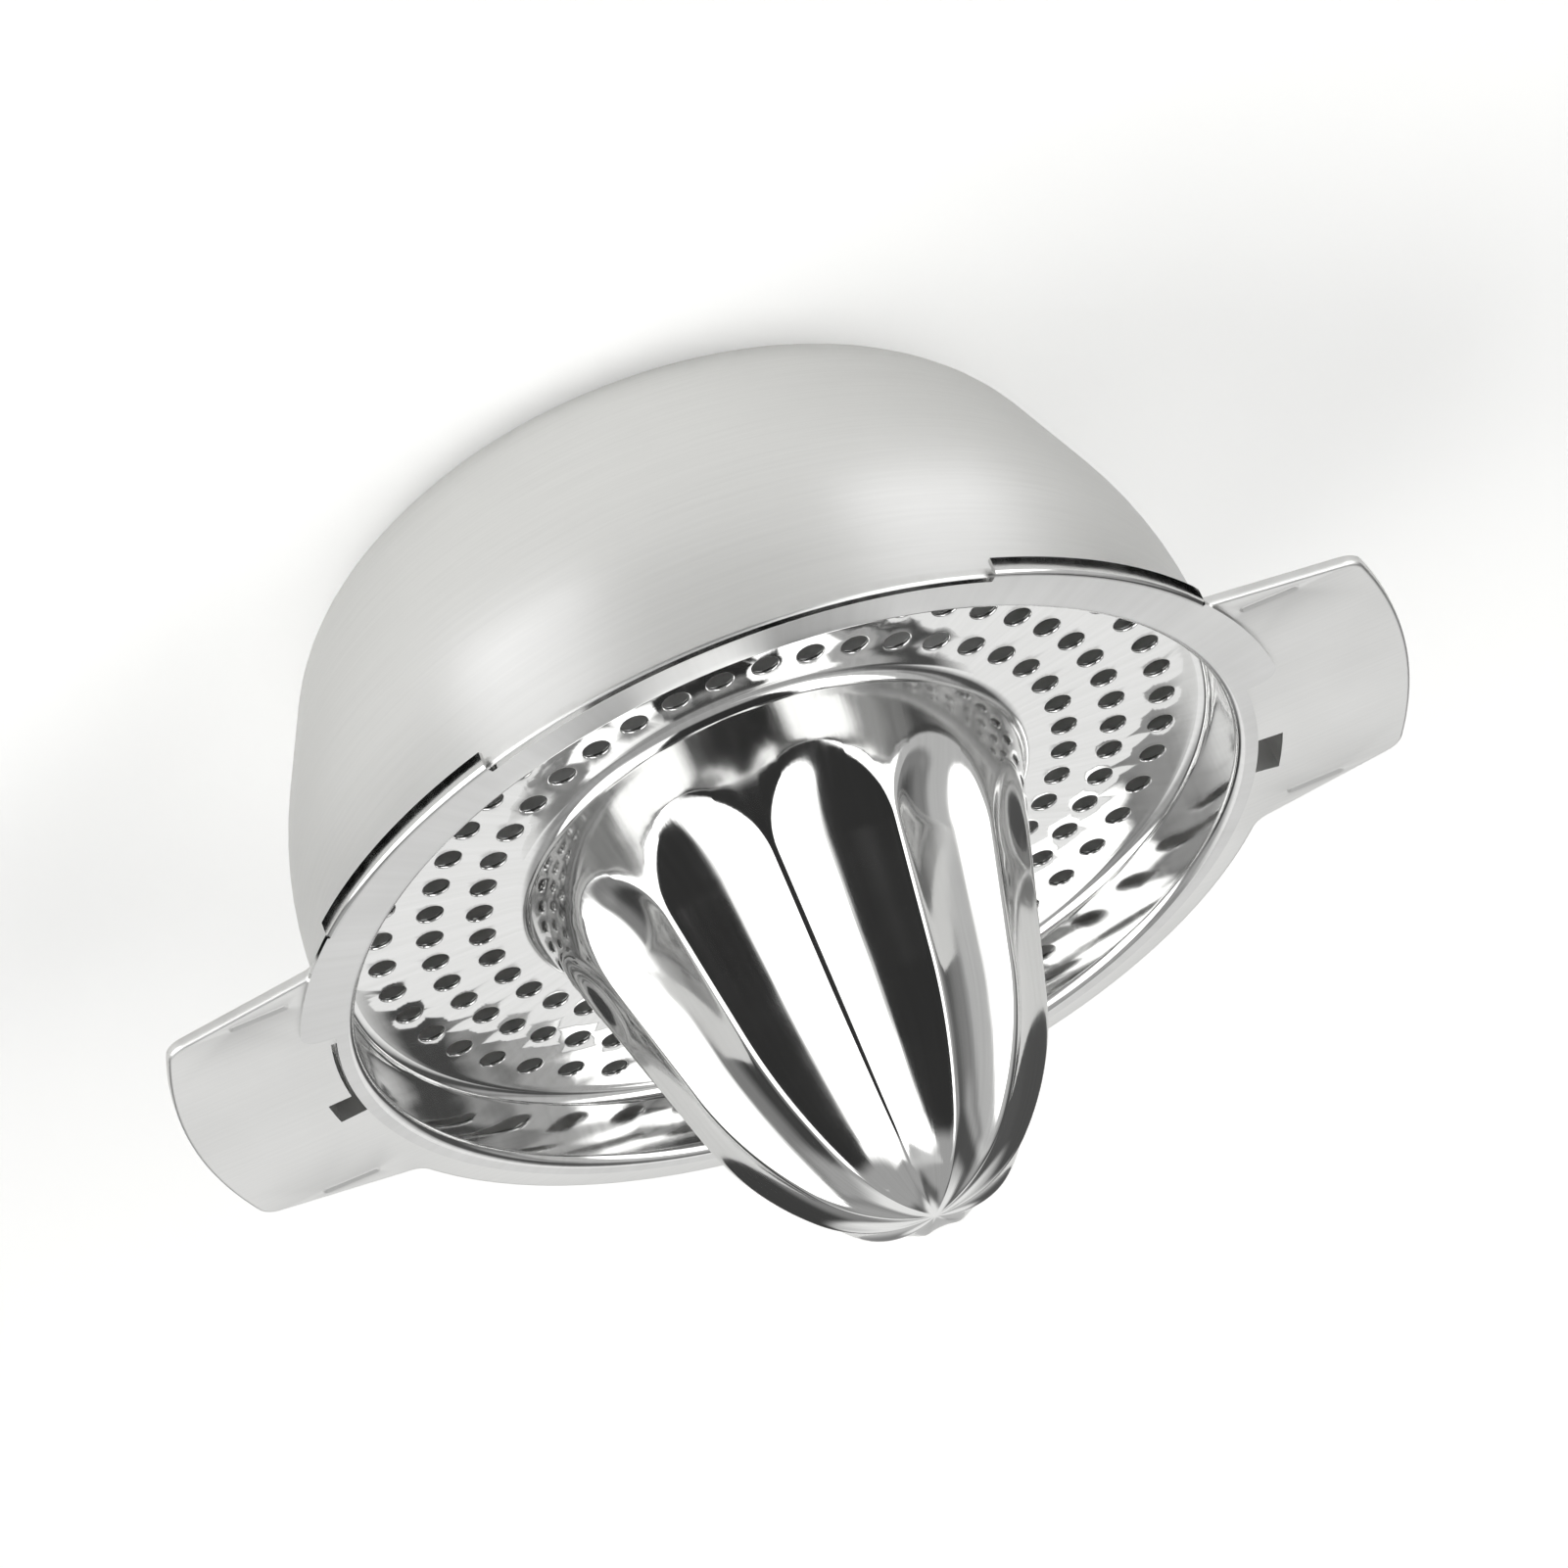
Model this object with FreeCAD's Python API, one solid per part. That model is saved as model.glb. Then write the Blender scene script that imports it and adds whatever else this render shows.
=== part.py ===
import FreeCAD
import Part
import os
from math import acos, atan2, ceil, cos, degrees, radians, sin, sqrt, tan
from FreeCAD import Rotation, Vector

# A hand citrus squeezer in stainless sheet: a deep bowl with two flat handles,
# and a loose strainer with a fluted reaming cone that drops into its mouth.
# X runs along the handles, the camera side of the strainer's lugs is -Y, +Z is up.
# The origin is the centre of the bowl's flat base, on the table. Millimetres.

# Sheet
sheet = 0.55                  # thickness of both pressings

# Bowl
bowl_height = 47.1            # table to the top of the flange
bowl_radius = 52.2            # outside of the upright part of the wall
bowl_upright = 11.1           # depth of that part, from the flange down to the bend
bowl_taper = 22.2             # degrees that the lower wall leans in
base_corner = 14.0            # inside radius between the lower wall and the base
waist_bend = 43.6             # inside radius between the lower wall and the upright part
mouth_bend = 0.5              # radius under the flange, at the mouth

# Flange and handles, one plate with its edge turned down
flange_width = 3.7            # beyond the bowl's wall
edge_drop = 1.15              # height of the turned-down edge
edge_bevel = 0.3
handle_reach = 71.0           # bowl's axis to the outer end of a handle
handle_root_width = 49.0
handle_end_width = 41.6
handle_corner = 2.8
handle_root_corner = 2.5      # inner corner where a handle meets the flange
crease_length = 7.0           # short stiffening creases beside the root
crease_start = 54.2
crease_side = 20.7            # each side of the handle's middle
crease_radius = 1.0
crease_depth = 0.22

# Vent at each handle's root: a pocket pressed out of the bowl's mouth, open beside the lip.
# Their angles are degrees from the handle's middle towards the far side.
vent_reach = 3.8              # bowl's wall to a vent's outer wall
vent_corner = 1.2
vent_depth = 5.0
right_vent = (3.1, 7.6)
left_vent = (7.9, 15.0)
slit_reach = 1.05             # a narrow slit leads into the right vent
slit_start = -10.2

# Strainer: floor, collar and lip
floor_drop = 8.5              # top of the bowl's flange down to the top of the floor
collar_clearance = 0.65       # between the collar's top and the bowl's wall
floor_bend = 1.5
lip_bend = 0.6
lip_reach = 0.6               # bowl's wall to the edge of the lip round the far half
apron_inset = 0.5             # the wide rim between the lugs stays inside the bowl's flange

# Lugs: they lie on the handles, and their skirts hook over the flange
skirt_clearance = 0.3         # between a skirt and the edge of the bowl's flange
lug_start = 29.5              # degrees each side of the middle of the near rim
skirt_end = 60.0
lug_end = 81.3
lug_corner = 2.2
skirt_drop = 2.1              # below the top of the lug
skirt_bend = 0.5

# Reaming cone
cone_height = 50.3            # floor to tip
cone_foot = 28.6              # radius at the floor, before its bend
cone_foot_bend = 1.85
cone_lean = 15.6              # degrees in from upright, on the long side
cone_shoulder_lean = 41.6     # the same, where the tip's dome starts
cone_shoulder_bend = 36.0
cone_tip_radius = 16.3        # of the dome, which is part of a sphere

# Flutes pressed into the cone, each a hollow between two ridges, narrowing with the cone to its tip
flute_count = 11
flute_arc = 52.6              # degrees that a hollow turns, from ridge to ridge
flute_foot = 15.7             # height below which a flute runs out, round like a finger's end
ridge_width = 0.9             # land left between two flutes, at that height
first_ridge = 13.7            # degrees
tip_flat = 1.5                # radius of the flat at the very tip
flute_chords = 6              # faces drawn across one flute
foot_outlines = 3             # outlines drawn through the round end of a flute
bend_outlines = 2             # and through each bend of the cone's side
exact_steps = 24              # points on a bend where only its true place is asked for

# Perforations, three rings of them, the middle one halfway between the others
hole_diameter = 3.0
hole_sides = 6                # flats drawn round each hole
inner_hole_gap = 5.1          # cone's foot to the inner ring
outer_hole_gap = 5.35         # outer ring to the collar
hole_counts = (42, 48, 48)    # inner, middle, outer
first_holes = (6.7, 0.7, 4.45)   # degrees

# How the loose strainer lies in the bowl
lie_turn = -3.4               # degrees about the cone's axis
lie_side = 0.15               # pushed this far to one side
lie_near = 0.3                # and this far to the near side

band_error = 0.45             # how far the conical bands of a bend stay inside its true curve
overlap = 0.4                 # how far joined bodies run into each other
touch = 0.01                  # how near an edge lies to the line that it is looked for on

# Radii that follow from the sizes above
flange_radius = bowl_radius + flange_width
vent_radius = bowl_radius + vent_reach
slit_radius = bowl_radius + slit_reach
lip_radius = bowl_radius + lip_reach
apron_radius = flange_radius - apron_inset
collar_radius = bowl_radius - sheet - collar_clearance - sheet
inner_ring, outer_ring = cone_foot + inner_hole_gap, collar_radius - outer_hole_gap
hole_ring_radii = (inner_ring, (inner_ring + outer_ring) / 2, outer_ring)

AXIS = Vector(0, 0, 1)
ORIGIN = Vector(0, 0, 0)


def shifted(corners, distance):
    """The same run of straight lines, moved to its right by a distance."""
    lines = []
    for (r1, z1), (r2, z2) in zip(corners, corners[1:]):
        length = sqrt((r2 - r1) ** 2 + (z2 - z1) ** 2)
        side_r, side_z = (z2 - z1) / length * distance, (r1 - r2) / length * distance
        lines.append(((r1 + side_r, z1 + side_z), (r2 + side_r, z2 + side_z)))
    moved = [lines[0][0]]
    for (a, b), (c, d) in zip(lines, lines[1:]):
        ab, cd = (b[0] - a[0], b[1] - a[1]), (d[0] - c[0], d[1] - c[1])
        across = ab[0] * cd[1] - ab[1] * cd[0]
        share = ((c[0] - a[0]) * cd[1] - (c[1] - a[1]) * cd[0]) / across
        moved.append((a[0] + share * ab[0], a[1] + share * ab[1]))
    return moved + [lines[-1][1]]


def turn_at(before, corner, after):
    """Degrees that a path turns at a corner, positive to the left."""
    first = atan2(corner[1] - before[1], corner[0] - before[0])
    second = atan2(after[1] - corner[1], after[0] - corner[0])
    return (degrees(second - first) + 180.0) % 360.0 - 180.0


def banded(corners, radii, steps):
    """The corners with each inner one rounded: points on its arc, a few steps apart."""
    points = [corners[0]]
    for index, (radius, count) in enumerate(zip(radii, steps), 1):
        before, corner, after = corners[index - 1:index + 2]
        turn = turn_at(before, corner, after)
        setback = radius * tan(radians(abs(turn) / 2))
        heading = atan2(corner[1] - before[1], corner[0] - before[0])
        side = 1 if turn > 0 else -1
        enter = (corner[0] - setback * cos(heading), corner[1] - setback * sin(heading))
        centre = (enter[0] - side * radius * sin(heading), enter[1] + side * radius * cos(heading))
        for step in range(count + 1):
            angle = heading + radians(turn) * step / count - side * radians(90)
            points.append((centre[0] + radius * cos(angle), centre[1] + radius * sin(angle)))
    return points + [corners[-1]]


def profile_face(points):
    """A face in the XZ plane from (radius, height) points, closed, without repeated points."""
    kept = [Vector(points[0][0], 0, points[0][1])]
    for r, z in points[1:]:
        if Vector(r, 0, z).distanceToPoint(kept[-1]) > 1e-4:
            kept.append(Vector(r, 0, z))
    return Part.Face(Part.makePolygon(kept + kept[:1]))


def skins(corners, bends):
    """Upper and lower points of a sheet: the corners are on its upper skin, bends are inside radii."""
    upper_radii, lower_radii, steps = [], [], []
    for index, bend in enumerate(bends, 1):
        turn = turn_at(*corners[index - 1:index + 2])
        upper_radii.append(bend if turn > 0 else bend + sheet)
        lower_radii.append(bend + sheet if turn > 0 else bend)
        steps.append(ceil(abs(turn) / degrees(2 * acos(1 - min(band_error / (bend + sheet), 1)))))
    upper = banded(corners, upper_radii, steps)
    lower = banded(shifted(corners, sheet), lower_radii, steps)
    return upper, lower


def pressed_sheet(corners, bends):
    """Cross-section of a turned sheet."""
    upper, lower = skins(corners, bends)
    return profile_face(upper + lower[::-1])


def turned(face, start=0.0, sweep=360.0):
    """A face in the XZ plane, swept about the Z axis from a start angle."""
    face = face.copy()
    face.rotate(ORIGIN, AXIS, start)
    return face.revolve(ORIGIN, AXIS, sweep)


def ring_sector(inner, outer, low, high, start, end):
    """Part of a flat ring between two angles."""
    corners = [Vector(r, 0, z) for r, z in ((inner, low), (outer, low), (outer, high), (inner, high))]
    section = Part.Face(Part.makePolygon(corners + corners[:1]))
    return turned(section, start, end - start)


def handle_outline():
    """One handle from inside the flange to its bowed outer end, flat at the flange's top."""
    half_root, half_end = handle_root_width / 2, handle_end_width / 2
    root_x = sqrt(flange_radius ** 2 - half_root ** 2)
    end_x = sqrt(handle_reach ** 2 - half_end ** 2)
    inner_x = bowl_radius - 2 * handle_corner
    corners = [Vector(inner_x, -half_root, bowl_height), Vector(root_x, -half_root, bowl_height),
               Vector(end_x, -half_end, bowl_height), Vector(end_x, half_end, bowl_height),
               Vector(root_x, half_root, bowl_height), Vector(inner_x, half_root, bowl_height)]
    sides = [Part.LineSegment(a, b).toShape() for a, b in zip(corners[:3], corners[1:3])]
    sides.append(Part.Arc(corners[2], Vector(handle_reach, 0, bowl_height), corners[3]).toShape())
    sides += [Part.LineSegment(a, b).toShape() for a, b in zip(corners[3:], corners[4:] + corners[:1])]
    return Part.Face(Part.Wire(sides))


def upright_edges(solid, x_test):
    """The straight vertical edges of a solid whose x passes a test."""
    found = []
    for edge in solid.Edges:
        a, b = edge.Vertexes[0].Point, edge.Vertexes[-1].Point
        if abs(a.x - b.x) < 1e-6 and abs(a.y - b.y) < 1e-6 and abs(a.z - b.z) > 1e-6 and x_test(a):
            found.append(edge)
    return found


def rim_plate(inset, top, bottom):
    """The flange's disc and both handles as one block, its outline moved in by inset."""
    disc = Part.Face(Part.Wire(Part.makeCircle(flange_radius, Vector(0, 0, bowl_height))))
    right = handle_outline()
    left = right.copy()
    left.rotate(ORIGIN, AXIS, 180)
    block = disc.multiFuse([right, left]).removeSplitter().extrude(Vector(0, 0, bottom - top))
    half_root = handle_root_width / 2
    inner = upright_edges(block, lambda p: abs(abs(p.y) - half_root) < touch)
    outer = upright_edges(block, lambda p: abs(p.x) > flange_radius)
    block = block.makeFillet(handle_root_corner, inner).makeFillet(handle_corner, outer)
    if inset:
        base = max(block.Faces, key=lambda f: f.CenterOfMass.z)
        outline = base.OuterWire.makeOffset2D(-inset)
        block = Part.Face(outline).extrude(Vector(0, 0, bottom - top))
    block.translate(Vector(0, 0, top - bowl_height))
    return block


def flange_and_handles():
    """The flat rim of the bowl: one plate, hollow below, with its edge turned down."""
    bottom = bowl_height - edge_drop
    plate = rim_plate(0, bowl_height, bottom)
    top = max(plate.Faces, key=lambda f: f.CenterOfMass.z)
    plate = plate.makeChamfer(edge_bevel, top.OuterWire.Edges)
    hollow = rim_plate(sheet, bowl_height - sheet, bottom)
    mouth = bowl_radius + mouth_bend + overlap
    opening = Part.makeCylinder(mouth, 2 * edge_drop, Vector(0, 0, bottom - edge_drop / 2))
    plate = plate.cut(hollow).cut(opening)
    return plate.cut(Part.makeCompound(handle_creases()))


def handle_creases():
    """Shallow round-bottomed grooves, two on each handle."""
    grooves = []
    height = bowl_height - crease_depth + crease_radius
    for side in (-crease_side, crease_side):
        for end in (-1, 1):
            start = Vector(end * crease_start, side, height)
            groove = Part.makeCylinder(crease_radius, crease_length, start, Vector(end, 0, 0))
            grooves.append(groove)
    return grooves


def vent_pockets(margin):
    """The insides of both vents, grown all round by a margin."""
    top, bottom = bowl_height, bowl_height - vent_depth - margin
    inner, outer = bowl_radius - 2 * sheet, vent_radius + margin
    grow = degrees(margin / vent_radius)
    pockets = []
    for low, high in (right_vent, left_vent):
        pocket = ring_sector(inner, outer, bottom, top, low - grow, high + grow)
        corners = upright_edges(pocket, lambda p: p.x ** 2 + p.y ** 2 > slit_radius ** 2)
        pockets.append(pocket.makeFillet(vent_corner + margin, corners))
    slit = ring_sector(inner, slit_radius + margin, bottom, top, slit_start - grow, right_vent[1])
    right = pockets[0].fuse(slit).removeSplitter()
    return [right, pockets[1].mirror(ORIGIN, Vector(1, 0, 0))]


def make_bowl():
    inner_radius = bowl_radius - sheet
    waist = bowl_height - bowl_upright - waist_bend * tan(radians(bowl_taper / 2))
    skin_height = bowl_height
    foot = inner_radius - (waist - sheet) * tan(radians(bowl_taper))
    corners = [(0, sheet), (foot, sheet), (inner_radius, waist), (inner_radius, skin_height),
               (bowl_radius + mouth_bend + 2 * overlap, skin_height)]
    cup = turned(pressed_sheet(corners, (base_corner, waist_bend, mouth_bend)))
    body = cup.fuse(flange_and_handles())
    upper = skins(corners, (base_corner, waist_bend, mouth_bend))[0]
    inside = turned(profile_face([point for point in upper if point[0] <= inner_radius]
                                 + [(inner_radius, bowl_height), (0, bowl_height)]))
    body = body.multiFuse(vent_pockets(sheet)).cut([inside] + vent_pockets(0))
    return body.removeSplitter()


def strainer_corners():
    """Upper skin of the strainer from the cone's tip to the edge of its lip."""
    floor = bowl_height - floor_drop
    rim = bowl_height + sheet
    side, slope = tan(radians(cone_lean)), tan(radians(cone_shoulder_lean))
    dome = cone_tip_radius * tan(radians(45 - cone_shoulder_lean / 2))
    shoulder = (cone_foot - dome - cone_height * slope) / (side - slope)
    return [(0, floor + cone_height), (dome, floor + cone_height),
            (cone_foot - shoulder * side, floor + shoulder), (cone_foot, floor),
            (collar_radius, floor), (collar_radius, rim), (lip_radius, rim)]


def radius_at(skin, height):
    """How far a skin of the plain cone is from the axis at one height; its points go downwards."""
    for (r1, z1), (r2, z2) in zip(skin, skin[1:]):
        if z2 <= height <= z1 and z1 > z2:
            return r1 + (r2 - r1) * (z1 - height) / (z1 - z2)
    return skin[0][0]


def half_flute(outer):
    """Half the angle that a flute takes up round the axis, in radians."""
    foot = bowl_height - floor_drop + flute_foot
    return radians(180.0 / flute_count) - ridge_width / 2 / radius_at(outer, foot)


def hollow_at(outer, height):
    """The circle that one flute follows at one height: centre's distance from the axis, and radius."""
    half, half_arc = half_flute(outer), radians(flute_arc / 2)
    below = max(bowl_height - floor_drop + flute_foot - height, 0)
    radius = radius_at(outer, height + below)
    hollow = radius * sin(half) / sin(half_arc)
    lift = radius * cos(half) + hollow * cos(half_arc) - radius
    run_out = sqrt(hollow ** 2 - lift ** 2)
    return radius_at(outer, height) + lift, sqrt(hollow ** 2 - min(below, run_out) ** 2), run_out


def fluted_outline(outer, skin, height):
    """Closed outline of one skin of the fluted cone, in short chords: each flute's hollow, then a land."""
    centre, hollow, _ = hollow_at(outer, height)
    plain = radius_at(skin, height)
    hollow += radius_at(outer, height) - plain
    points = []
    for index in range(flute_count):
        for chord in range(flute_chords + 1):
            turn = half_flute(outer) * (2 * chord / flute_chords - 1)
            depth = hollow ** 2 - (centre * sin(turn)) ** 2
            reach = min(plain, centre * cos(turn) - sqrt(depth)) if depth > 0 else plain
            bearing = radians(first_ridge + (index + 0.5) * 360.0 / flute_count) + turn
            points.append(Vector(reach * cos(bearing), reach * sin(bearing), height))
    return Part.makePolygon(points + points[:1])


def cone_levels(outer, corners, drawn):
    """Heights of the outlines of the outer skin, from the tip to the top of the foot bend."""
    foot = corners[-1][1] + flute_foot
    run_out = hollow_at(outer, foot)[2]
    levels = [z for z in drawn if foot + sheet < z < corners[0][1] - sheet / 2]
    for outline in range(foot_outlines + 1):
        levels.append(foot - run_out * sin(radians(90.0 * outline / foot_outlines)))
    return levels + [drawn[-bend_outlines - 2]]


def fluted_cone(corners, bends):
    """The hollow cone down to the end of its foot bend, and the outline of that end on the floor.

    Each skin runs straight from one outline to the next, and both end on the same outline.
    """
    top, floor = corners[0][1], corners[-1][1]
    exact, few = [exact_steps] * 3, [bend_outlines] * 3
    radii = (bends[0] + sheet, bends[1] + sheet, bends[2])
    inner_radii = (bends[0], bends[1], bends[2] + sheet)
    inner_corners = shifted(corners, sheet)
    outer = [(tip_flat, top)] + [p for p in banded(corners, radii, exact)[:-1] if p[0] > tip_flat]
    outer.append((outer[-1][0], floor - sheet))
    inner = [(tip_flat, top - sheet)]
    inner += [p for p in banded(inner_corners, inner_radii, exact)[:-1] if p[0] > tip_flat]
    drawn = [z for _, z in banded(corners, radii, few)]
    inner_drawn = [z for _, z in banded(inner_corners, inner_radii, few)]
    side = cone_levels(outer, corners, drawn)
    levels = [top] + side + drawn[-bend_outlines - 1:-2] + [floor, floor - sheet]
    inner_levels = [top - sheet] + [z for z in side if z < top - 2 * sheet]
    inner_levels += inner_drawn[-bend_outlines - 2:-1]
    faces = []
    for skin, heights in ((outer, levels), (inner, inner_levels)):
        outlines = [fluted_outline(outer, skin, height) for height in heights]
        faces += Part.makeLoft(outlines, False, True).Faces + [Part.Face(outlines[0])]
    shell = Part.makeShell(faces)
    shell.sewShape()
    return Part.makeSolid(Part.Shell(shell.Faces)), fluted_outline(outer, outer, floor)


def perforated_floor(cone_end, outer):
    """The flat ring between the cone and the collar, with three rings of holes."""
    floor = bowl_height - floor_drop
    wires = [Part.Wire(Part.makeCircle(outer, Vector(0, 0, floor))), cone_end]
    for ring_radius, count, first in zip(hole_ring_radii, hole_counts, first_holes):
        for index in range(count):
            angle = radians(first + index * 360.0 / count)
            centre = Vector(ring_radius * cos(angle), ring_radius * sin(angle), floor)
            corners = []
            for side in range(hole_sides):
                bearing = angle + radians((side + 0.5) * 360.0 / hole_sides)
                corners.append(centre + Vector(cos(bearing), sin(bearing), 0) * hole_diameter / 2)
            wires.append(Part.makePolygon(corners + corners[:1]))
    return Part.Face(wires, "Part::FaceMakerBullseye").extrude(Vector(0, 0, -sheet))


def rim_and_lugs():
    """The wide near half of the rim, a lug over each handle and its skirt."""
    top, bottom = bowl_height + sheet, bowl_height
    inner = lip_radius - overlap
    lug_radius = flange_radius + skirt_clearance + sheet
    near = -90.0
    pieces = [ring_sector(inner, apron_radius, bottom, top, near - lug_end, near + lug_end)]
    skirt = pressed_sheet([(apron_radius - overlap, top), (lug_radius, top),
                           (lug_radius, top - skirt_drop)], (skirt_bend,))
    lug = ring_sector(inner, lug_radius, bottom, top, near + skirt_end, near + lug_end)
    outer = upright_edges(lug, lambda p: p.x ** 2 + p.y ** 2 > apron_radius ** 2)
    far = max(outer, key=lambda edge: edge.CenterOfMass.y)
    lug = lug.makeFillet(lug_corner, [far])
    hook = turned(skirt, near + lug_start, skirt_end - lug_start)
    for piece in (lug, hook):
        pieces += [piece, piece.mirror(ORIGIN, Vector(1, 0, 0))]
    return pieces


def make_strainer():
    corners = strainer_corners()
    bends = (cone_tip_radius - sheet, cone_shoulder_bend, cone_foot_bend, floor_bend, lip_bend)
    cone, cone_end = fluted_cone(corners[:5], bends[:3])
    collar_start = (corners[4][0] - floor_bend, corners[4][1])
    collar = turned(pressed_sheet([collar_start] + corners[4:], bends[3:]))
    floor = perforated_floor(cone_end, collar_start[0])
    body = cone.multiFuse([floor, collar] + rim_and_lugs()).removeSplitter()
    body.rotate(ORIGIN, AXIS, lie_turn)
    body.translate(Vector(-lie_side, -lie_near, 0))
    return body


os.makedirs("parts", exist_ok=True)
for name, build in (("bowl", make_bowl), ("strainer", make_strainer)):
    shape = build()
    print(name, "solids", len(shape.Solids), "valid", shape.isValid(), "volume", round(shape.Volume, 1))
    shape.exportStep("parts/" + name + ".step")
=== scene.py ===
# %% [markdown]
# # A citrus squeezer in pressed stainless steel
# The real object is two pressings of thin sheet: a satin bowl with two flat handles, and a loose
# strainer with a fluted reaming cone, polished like a mirror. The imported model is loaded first.
# It fixes where everything is, so each piece below only has to be given its finer form and finish.

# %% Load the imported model
from math import atan2, cos, degrees, hypot, pi, radians, sin, sqrt, tan

import bmesh
import bpy
import numpy as np
from mathutils import Matrix, Vector


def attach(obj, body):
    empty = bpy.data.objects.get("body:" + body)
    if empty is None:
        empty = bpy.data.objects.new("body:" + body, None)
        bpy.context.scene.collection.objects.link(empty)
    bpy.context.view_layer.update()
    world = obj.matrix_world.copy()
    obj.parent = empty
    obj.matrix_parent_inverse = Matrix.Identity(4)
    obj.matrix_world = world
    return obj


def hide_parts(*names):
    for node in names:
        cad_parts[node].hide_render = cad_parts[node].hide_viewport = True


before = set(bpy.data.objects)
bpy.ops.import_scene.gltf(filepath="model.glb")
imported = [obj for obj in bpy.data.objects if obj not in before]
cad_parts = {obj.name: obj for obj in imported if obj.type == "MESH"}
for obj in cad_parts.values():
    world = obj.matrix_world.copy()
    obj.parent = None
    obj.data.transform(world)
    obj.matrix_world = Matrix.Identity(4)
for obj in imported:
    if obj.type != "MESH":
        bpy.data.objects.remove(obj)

MM = 0.001
scene = bpy.context.scene
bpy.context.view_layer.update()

# %% [markdown]
# ## The camera
# The photograph was taken from about 30 degrees above the table with a long lens, and the picture
# was then turned by more than a right angle. A Track To constraint would aim a camera, but it can't
# give it such a roll. So the camera's own axes are written as the columns of its matrix: what is
# right, what is up, and what is behind it.

# %% Camera at the photograph's angle
focal_length, picture_width = 7177.0, 1601.0        # both in pixels of the photograph
camera_data = bpy.data.cameras.new("camera")
camera_data.sensor_width = 36.0
camera_data.sensor_fit = "AUTO"
camera_data.lens = camera_data.sensor_width * focal_length / picture_width
camera_data.clip_start, camera_data.clip_end = 0.05, 20.0
camera = bpy.data.objects.new("camera", camera_data)
scene.collection.objects.link(camera)
right = Vector((-0.92347, 0.18356, 0.33691)).normalized()
back = Vector((0.00839, -0.86824, 0.49607)).normalized()
up = back.cross(right)
camera.matrix_world = Matrix((
    (right.x, up.x, back.x, 3.35 * MM),
    (right.y, up.y, back.y, -665.0 * MM),
    (right.z, up.z, back.z, 413.4 * MM),
    (0, 0, 0, 1)))
scene.camera = camera
print("lens", round(camera_data.lens, 1), "mm")

# %% [markdown]
# ## Sizes that both pressings share
# Every size is in millimetres, from the bowl's axis and from the table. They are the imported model's
# own sizes, because every piece here has to lie where it lies. The few that both pressings need come
# first, and each piece brings the rest where it is made.

# %% Sizes that both pressings share
sheet = 0.55
bowl_height, bowl_radius = 47.1, 52.2
floor_height, rim_height = bowl_height - 8.5, bowl_height + sheet
print("strainer: floor at", floor_height, "mm, top of the rim at", rim_height, "mm")

# %% [markdown]
# ## Bends
# Sheet never turns a sharp corner. Every cross-section below is a run of straight lines whose corners
# are swapped for arcs, with enough points for each bend to look round where light runs along it. A
# Bevel modifier could round the edges afterwards, but then every bend would have the same radius.

# %% Round the corners of a cross-section
def rounded(corners, radii, degrees_apart=9.0, longest=3.0):
    """Points along a run of (radius, height) corners, each inner corner an arc of its radius."""
    points = [corners[0]]
    for index, radius in enumerate(radii, 1):
        before, corner, after = (np.array(c, float) for c in corners[index - 1:index + 2])
        first, second = corner - before, after - corner
        heading = atan2(first[1], first[0])
        turn = (atan2(second[1], second[0]) - heading + pi) % (2 * pi) - pi
        side = 1 if turn > 0 else -1
        enter = corner - first / hypot(*first) * radius * tan(abs(turn) / 2)
        centre = enter + side * radius * np.array((-sin(heading), cos(heading)))
        count = max(3, round(degrees(abs(turn)) / degrees_apart), round(abs(turn) * radius / longest))
        for step in range(count + 1):
            angle = heading + turn * step / count - side * pi / 2
            points.append(tuple(centre + radius * np.array((cos(angle), sin(angle)))))
    points.append(corners[-1])
    filled = [points[0]]
    for a, b in zip(points, points[1:]):
        pieces = max(1, round(hypot(b[0] - a[0], b[1] - a[1]) / longest))
        if hypot(b[0] - a[0], b[1] - a[1]) > 1e-4:
            filled += [(a[0] + (b[0] - a[0]) * k / pieces, a[1] + (b[1] - a[1]) * k / pieces)
                       for k in range(1, pieces + 1)]
    return filled


# %% [markdown]
# ## A sheet as one skin
# Each pressing is drawn as its upper skin only, as one net of faces, and Solidify gives it the
# thickness of the sheet at the end. Drawing both skins would be twice the work, and they would not
# stay parallel. A small class collects the net: it joins points that lie in the same place, so that
# parts drawn one after the other grow together without a seam.

# %% Collect faces into one net
def on_circle(radius, angles):
    """Points on a circle round the axis, at angles in degrees."""
    return [(radius * cos(radians(a)), radius * sin(radians(a))) for a in angles]


hair = 1e-6             # angles and heights closer than this are the same


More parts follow.
